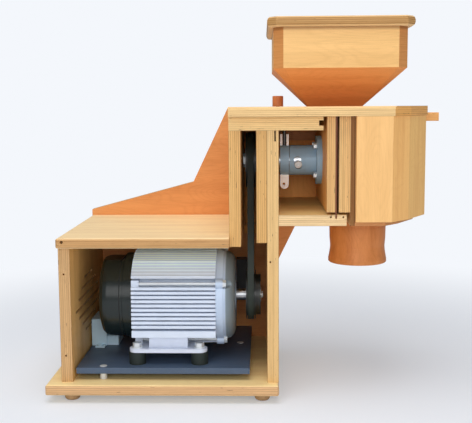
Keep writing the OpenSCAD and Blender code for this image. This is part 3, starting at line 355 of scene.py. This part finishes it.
def roof_ply():
    """Top board: the cut ends round the stone housing show darker layers."""
    seed = 8
    f = Finish("roof_ply")
    face_tone, face_relief = face_colour(f, X, seed, *tones(240, 200, 142, 0.8))
    side, side_relief = layer_colour(f, Z, "roof_board", *tones(232, 194, 134), seed)
    cut = layer_colour(f, Z, "roof_board", *tones(234, 172, 94), seed)[0]
    side = f.mix(side, cut, f.ease(f.axes(f.facing)[X], 0.3, 0.5))
    flat = f.square_on(Z)
    relief = face_relief * flat + side_relief * (1 - flat)
    dress(waxed(f, f.mix(side, face_tone, flat), relief), "roof_board")


def vent_wall_ply():
    """The slots' sawn faces are painted pale: painted light in slots that would otherwise lie in
    shade.
    """
    seed = 2
    f = Finish("vent_wall_ply")
    face_tone, face_relief = face_colour(f, Z, seed, *tones(232, 182, 112))
    side, side_relief = layer_colour(f, X, "vent_wall", *tones(208, 166, 114), seed)
    flat = f.square_on(X)
    relief = face_relief * flat + side_relief * (1 - flat)
    _, north, upward = f.axes(f.facing)
    # Painted light: faces inside the slanted slots get a pale wood colour in place of the shade
    # there.
    slot = f.ease(f.maths("MINIMUM", abs(north), abs(upward)), 0.4, 0.6)
    colour = f.mix(f.mix(side, face_tone, flat), shade(255, 206, 130), slot)
    dress(waxed(f, colour, relief), "vent_wall")


def wood_finishes():
    """Every board and turned piece; a ply's colours are its edge and then its face."""
    ply("base_ply", "base_board", Z, X, (218, 174, 124), (255, 218, 156), seed=1)
    vent_wall_ply()
    ply("motor_roof_ply", "motor_roof_board", Z, X, (200, 153, 98), (252, 216, 164), seed=3)
    ply("duct_ply", "duct_board", X, Z, (222, 174, 106), seed=4)
    ply("bearing_board_ply", "bearing_board", X, Z, (218, 170, 102), seed=5)
    ply("post_ply", "post_board", X, Z, (228, 188, 126), (236, 184, 110), seed=6)
    ply("beam_ply", "roof_beam", Z, X, (234, 196, 132), seed=7)
    roof_ply()
    ply("chamber_floor_ply", "chamber_floor", Z, X, (234, 200, 148), (255, 212, 140), seed=9)
    ply("flange_board_ply", "flange_board", X, Z, (222, 174, 110), (236, 180, 106), seed=10)
    ply("feed_board_ply", "feed_board", X, Z, (226, 182, 118), seed=11)
    # Painted shade: the backing board's edge gets a far darker brown than the other ply edges,
    # for the shade the stone housing casts on it.
    ply("backing_ply", "backing_board", X, Z, (146, 100, 48), seed=12)
    ply("back_panel_ply", "back_panel", Y, X, (226, 178, 116), (222, 148, 84), seed=13)
    ply("mill_floor_ply", "mill_floor", Z, X, (214, 148, 88), (206, 136, 78), seed=14)
    ply("lid_ply", "hopper_lid", Z, X, (184, 138, 80), (240, 200, 142), seed=15)
    ply("lid_frame_ply", "lid_frame", Z, X, (230, 180, 120), seed=16)
    ply("slider_ply", "grain_slider", Z, X, (214, 160, 98), seed=17)
    ply("rear_lining_ply", "rear_boards", Y, Z, (216, 160, 84), (244, 168, 78), seed=18)
    hopper_wall_ply()
    stone_housing_ply()
    solid_beech("funnel_beech", "hopper_funnel", X, (230, 152, 84), 20, spread=0.8)
    solid_beech("spout_beech", "spout", Z, (208, 130, 68), 21)
    solid_beech("grip_beech", "lever_grip", Z, (208, 126, 72), 22)
    solid_beech("knob_beech", "slider_knob", X, (240, 178, 106), 24)
    solid_beech("foot_beech", "feet", Z, (174, 138, 98), 25)
    solid_beech("hardboard", "dust_sheet", Z, (120, 66, 38), 26)


# Metal, rubber, plastic and stone

LATHE_RINGS = (0.35, 60, 60)
HOUSING_PAINT = shade(154, 190, 217)


def metal(name, colour, rough, pieces, metallic, grit=0.6, spread=0.08):
    """Painted or bare metal with fine grit and a slow change of tone."""
    f = Finish(name)
    fine = f.noise(grit)
    broad = f.noise(18)
    tone_scale = (fine - 0.5) * spread * 2 + (broad - 0.5) * spread * 2 + 1
    dress(f.done(fine, 0.00008, 0.25, Base_Color=f.tint(colour, tone_scale),
                 Roughness=(broad - 0.5) * 0.2 + rough, Metallic=metallic), *pieces)


def turned_metal(name, colour, rough, pieces, metallic):
    """Fine rings round the shaft, left by the lathe."""
    f = Finish(name)
    rings = f.noise(LATHE_RINGS)
    broad = f.noise(15)
    dress(f.done(rings, 0.00006, 0.25, Base_Color=f.tint(colour, (rings - 0.5) * 0.18 + 1),
                 Roughness=(broad - 0.5) * 0.2 + rings * 0.08 + rough, Metallic=metallic),
          *pieces)


def drive_pulleys():
    """Blackened rims round bright hubs."""
    rim, hub = shade(25, 29, 27), shade(206, 211, 216)
    for name, piece, hub_radius in (("mill_pulley_metal", "mill_pulley", 21.5),
                                    ("motor_pulley_metal", "motor_pulley", 13.0)):
        f = Finish(name)
        radius = f.off_middle(piece)[2]
        rings = f.noise(LATHE_RINGS)
        bright = f.ease(radius, hub_radius + 0.4, hub_radius)
        colour = f.tint(f.mix(rim, hub, bright), (rings - 0.5) * 0.3 + 1)
        dress(f.done(rings, 0.00006, 0.25, Base_Color=colour, Roughness=rings * 0.15 + 0.3,
                     Metallic=bright * 0.35), piece)


def bright_collar():
    """The ring is painted like the housing; the prongs and the ear are bare metal, coloured
    brighter than white as painted light where they sit in shade.
    """
    ring_radius, bare_radius = 24.7, 25.2
    f = Finish("bright_collar")
    radius = f.off_middle("bearing_housing")[2]
    bare = f.ease(radius, ring_radius, bare_radius)
    fine = f.noise(0.7)
    # Painted light: the bare metal is lifted a quarter above near-white to make up for the shade
    # it sits in.
    colour = f.mix(HOUSING_PAINT, f.tint(shade(255, 247, 238), 1.25), bare)
    dress(f.done(fine, 0.00008, 0.25, Base_Color=f.tint(colour, (fine - 0.5) * 0.12 + 1),
                 Roughness=fine * 0.1 + 0.4, Metallic=0.05), "lever_collar")


def cast_stator():
    """Painted aluminium: fin roots painted as light as the tips against the shade between fins, a
    top painted cooler and lighter where the roof shades it, and painted shade lines across the
    top for the gaps between its fins.
    """
    line_pitch = 8.5
    fin_root, fin_tip = 60, 73
    shoulder = 44
    f = Finish("cast_stator")
    across, up, _ = f.off_middle("stator_housing")
    fine = f.noise((60, 0.8, 0.8))
    broad = f.noise(25)
    tips = f.ease(f.maths("MAXIMUM", abs(across), abs(up)), fin_root, fin_tip)
    # Painted light: the fin roots are coloured as light as the tips, to soften the shade between
    # the fins.
    colour = f.mix(shade(218, 226, 238), shade(216, 226, 242), tips)
    # Painted light: the top is coloured cooler where the roof shades it and warm light bounces
    # onto it.
    colour = f.mix(colour, shade(206, 228, 250), f.ease(up, shoulder, fin_root))
    # Painted shade: thin dark lines across the top stand in for the gaps between fins.
    lines = f.ease(f.from_step((across + up) / line_pitch), 0.32, 0.46)
    lines = lines * f.ease(up, shoulder, shoulder + 2)
    colour = f.mix(colour, shade(124, 132, 140), lines * 0.55)
    # Painted light: the top is brightened where the roof shades it, on top of the random tone
    # changes.
    painted_top_light = f.ease(up, shoulder, shoulder + 22) * 0.34
    tone_scale = (fine - 0.5) * 0.1 + (broad - 0.5) * 0.1 + painted_top_light + 1
    dress(f.done(fine, 0.00008, 0.2, Base_Color=f.tint(colour, tone_scale),
                 Roughness=(broad - 0.5) * 0.15 + 0.42, Metallic=0.08), "stator_housing")


def cast_shield():
    """Machined ring, lighter than the darker dome, whose outer part darkens further as a painted
    reflection of the dark surroundings.
    """
    ring_end, dome_start = 0.014, 0.017
    fade_start, rim_radius = 40, 66
    f = Finish("cast_shield")
    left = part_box("end_shield")[0][X]
    radius = f.off_middle("end_shield")[2]
    fine = f.noise(0.9)
    broad = f.noise(18)
    dome = f.ease(f.axes(f.place)[X], left + ring_end, left + dome_start)
    # Painted reflection: the dome darkens toward its rim, standing in for the dark surroundings
    # it reflects there.
    edge = dome * f.ease(radius, fade_start, rim_radius)
    colour = f.mix(shade(192, 208, 230), shade(158, 174, 190), dome)
    colour = f.mix(colour, shade(112, 124, 128), edge * 0.8)
    tone_scale = (fine - 0.5) * 0.1 + (broad - 0.5) * 0.12 + 1
    dress(f.done(fine, 0.0001, 0.3, Base_Color=f.tint(colour, tone_scale),
                 Roughness=(broad - 0.5) * 0.2 + 0.4, Metallic=0.15), "end_shield")


def cowl_plastic():
    """Glossy black cap, with the joint line of its clamping ring."""
    ring_width = 0.021
    f = Finish("cowl_plastic")
    joint_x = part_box("fan_cowl")[1][X] - ring_width
    fine = f.noise(0.5)
    broad = f.noise(30)
    joint = f.ease(abs(f.axes(f.place)[X] - joint_x), 0.0011, 0.0005)
    black = f.tint(shade(22, 31, 29), (broad - 0.5) * 0.3 + 1)
    dress(f.done(fine - joint * 2, 0.0001, 0.3, Base_Color=f.mix(black, shade(9, 11, 10), joint),
                 Roughness=(broad - 0.5) * 0.12 + joint * 0.4 + 0.24,
                 Specular_IOR_Level=0.45), "fan_cowl")


def moulded(name, colour, rough, piece, grit=0.5, depth=0.0001):
    """Plastic or rubber with a fine grain."""
    f = Finish(name)
    fine = f.noise(grit)
    broad = f.noise(30)
    dress(f.done(fine, depth, 0.3, Base_Color=f.tint(colour, (broad - 0.5) * 0.3 + 1),
                 Roughness=(broad - 0.5) * 0.15 + rough, Specular_IOR_Level=0.45), piece)


def grit_stone():
    """Bonded grit: grey and buff grains in slow patches."""
    f = Finish("grit_stone")
    grains = f.noise(0.8, 3, 0.7)
    patches = f.noise(9)
    share = f.ease(grains, 0.38, 0.66) * 0.7 + (patches - 0.5) * 0.5
    colour = f.mix(shade(206, 200, 186), shade(142, 134, 120), share)
    dress(f.done(grains, 0.0006, 0.5, Base_Color=colour, Roughness=0.9),
          "fixed_stone", "rotating_stone")


def hard_finishes():
    cast_stator()
    cast_shield()
    metal("cast_feet", shade(218, 225, 240), 0.42, ["motor_feet"],
          metallic=0.08, grit=0.9, spread=0.05)
    metal("grey_box", shade(208, 238, 255), 0.5, ["capacitor_box", "terminal_box"],
          metallic=0.0, grit=0.8, spread=0.04)
    metal("zinc", shade(222, 226, 228), 0.34,
          ["housing_bolts", "lock_screw", "pulley_nut", "stone_nut", "pulley_bolt", "tie_bolts",
           "foot_bolts", "plate_standoffs", "plate_bolts"], metallic=0.35)
    metal("dark_rod", shade(92, 92, 92), 0.35, ["lever_rod"], metallic=0.8)
    bright_collar()
    turned_metal("ground_steel", shade(176, 178, 181), 0.26,
                 ["sleeve", "bearing_left", "bearing_right", "mill_shaft", "motor_shaft"], 1.0)
    turned_metal("blue_grey_housing", HOUSING_PAINT, 0.42, ["bearing_housing"], 0.05)
    drive_pulleys()
    metal("painted_plate", shade(76, 94, 118), 0.45, ["motor_plate"],
          metallic=0.1, grit=1.5, spread=0.13)
    cowl_plastic()
    moulded("fan_plastic", shade(34, 36, 37), 0.5, "fan")
    moulded("switch_plastic", shade(30, 31, 32), 0.4, "switch_body")
    moulded("rocker_plastic", shade(156, 34, 28), 0.3, "switch_rocker")
    moulded("gland_plastic", shade(38, 39, 40), 0.5, "cable_gland")
    moulded("belt_rubber", shade(34, 45, 39), 0.6, "belt", grit=0.7, depth=0.0002)
    moulded("buffer_rubber", shade(33, 42, 38), 0.65, "rubber_buffers", grit=0.7, depth=0.0002)
    grit_stone()


# Studio

BACKDROP = shade(244, 247, 252)
ROOM_LIGHT = 0.36


def light_studio():
    """Four soft boxes aimed at the mill, in a pale room that lights it less than it shows."""
    aimed_at = Vector((0.0, 0.0, 0.28))
    for name, place, size, power in (
            ("front_left_softbox", (-0.9, -2.3, 1.0), 1.2, 9),
            ("front_right_softbox", (1.3, -2.1, 0.9), 1.2, 4.5),
            ("camera_softbox", (0.1, -1.55, 0.56), 0.45, 4.1),
            ("top_softbox", (-0.2, -0.6, 2.4), 1.8, 33)):
        lamp = bpy.data.lights.new(name, "AREA")
        lamp.shape = "SQUARE"
        lamp.size = size
        lamp.energy = power
        box = bpy.data.objects.new(name, lamp)
        scene.collection.objects.link(box)
        toward = aimed_at - Vector(place)
        box.matrix_world = (Matrix.Translation(place)
                            @ toward.to_track_quat("-Z", "Y").to_matrix().to_4x4())
    room = bpy.data.worlds.new("studio")
    scene.world = room
    wiring = Wiring(room)
    ray = wiring.node("LightPath")
    seen = wiring.maths("MAXIMUM", ray.outputs["Is Camera Ray"],
                        ray.outputs["Is Transmission Ray"])
    sky = wiring.node("Background", Color=BACKDROP, Strength=seen * (1 - ROOM_LIGHT) + ROOM_LIGHT)
    wiring.node("OutputWorld", Surface=sky.outputs[0])


def lay_floor():
    """Pale table that runs out into the backdrop behind the mill."""
    half = 6.0
    fade_start, fade_end = 0.45, 1.2
    mesh = bpy.data.meshes.new("floor")
    mesh.from_pydata([(-half, -half, 0), (half, -half, 0), (half, half, 0), (-half, half, 0)],
                     [], [(0, 1, 2, 3)])
    floor = bpy.data.objects.new("floor", mesh)
    scene.collection.objects.link(floor)
    f = Finish("floor_paper")
    x, y, _ = f.axes(f.place)
    grain = f.noise(1.5)
    paper = f.node("BsdfPrincipled", Roughness=0.7,
                   Base_Color=f.tint(shade(236, 240, 247), (grain - 0.5) * 0.02 + 1))
    far = f.node("Emission", Color=BACKDROP, Strength=1.0)
    ray = f.node("LightPath")
    away = f.ease((x * x + y * y) ** 0.5, fade_start, fade_end)
    seen = (away * 0.7 + 0.3) * ray.outputs["Is Camera Ray"]
    blend = f.node("MixShader", Fac=seen, Shader=paper.outputs[0], Shader_001=far.outputs[0])
    f.node("OutputMaterial", Surface=blend.outputs[0])
    mesh.materials.append(f.material)


place_camera()
light_studio()
lay_floor()
wood_finishes()
hard_finishes()

scene.view_settings.view_transform = "Standard"
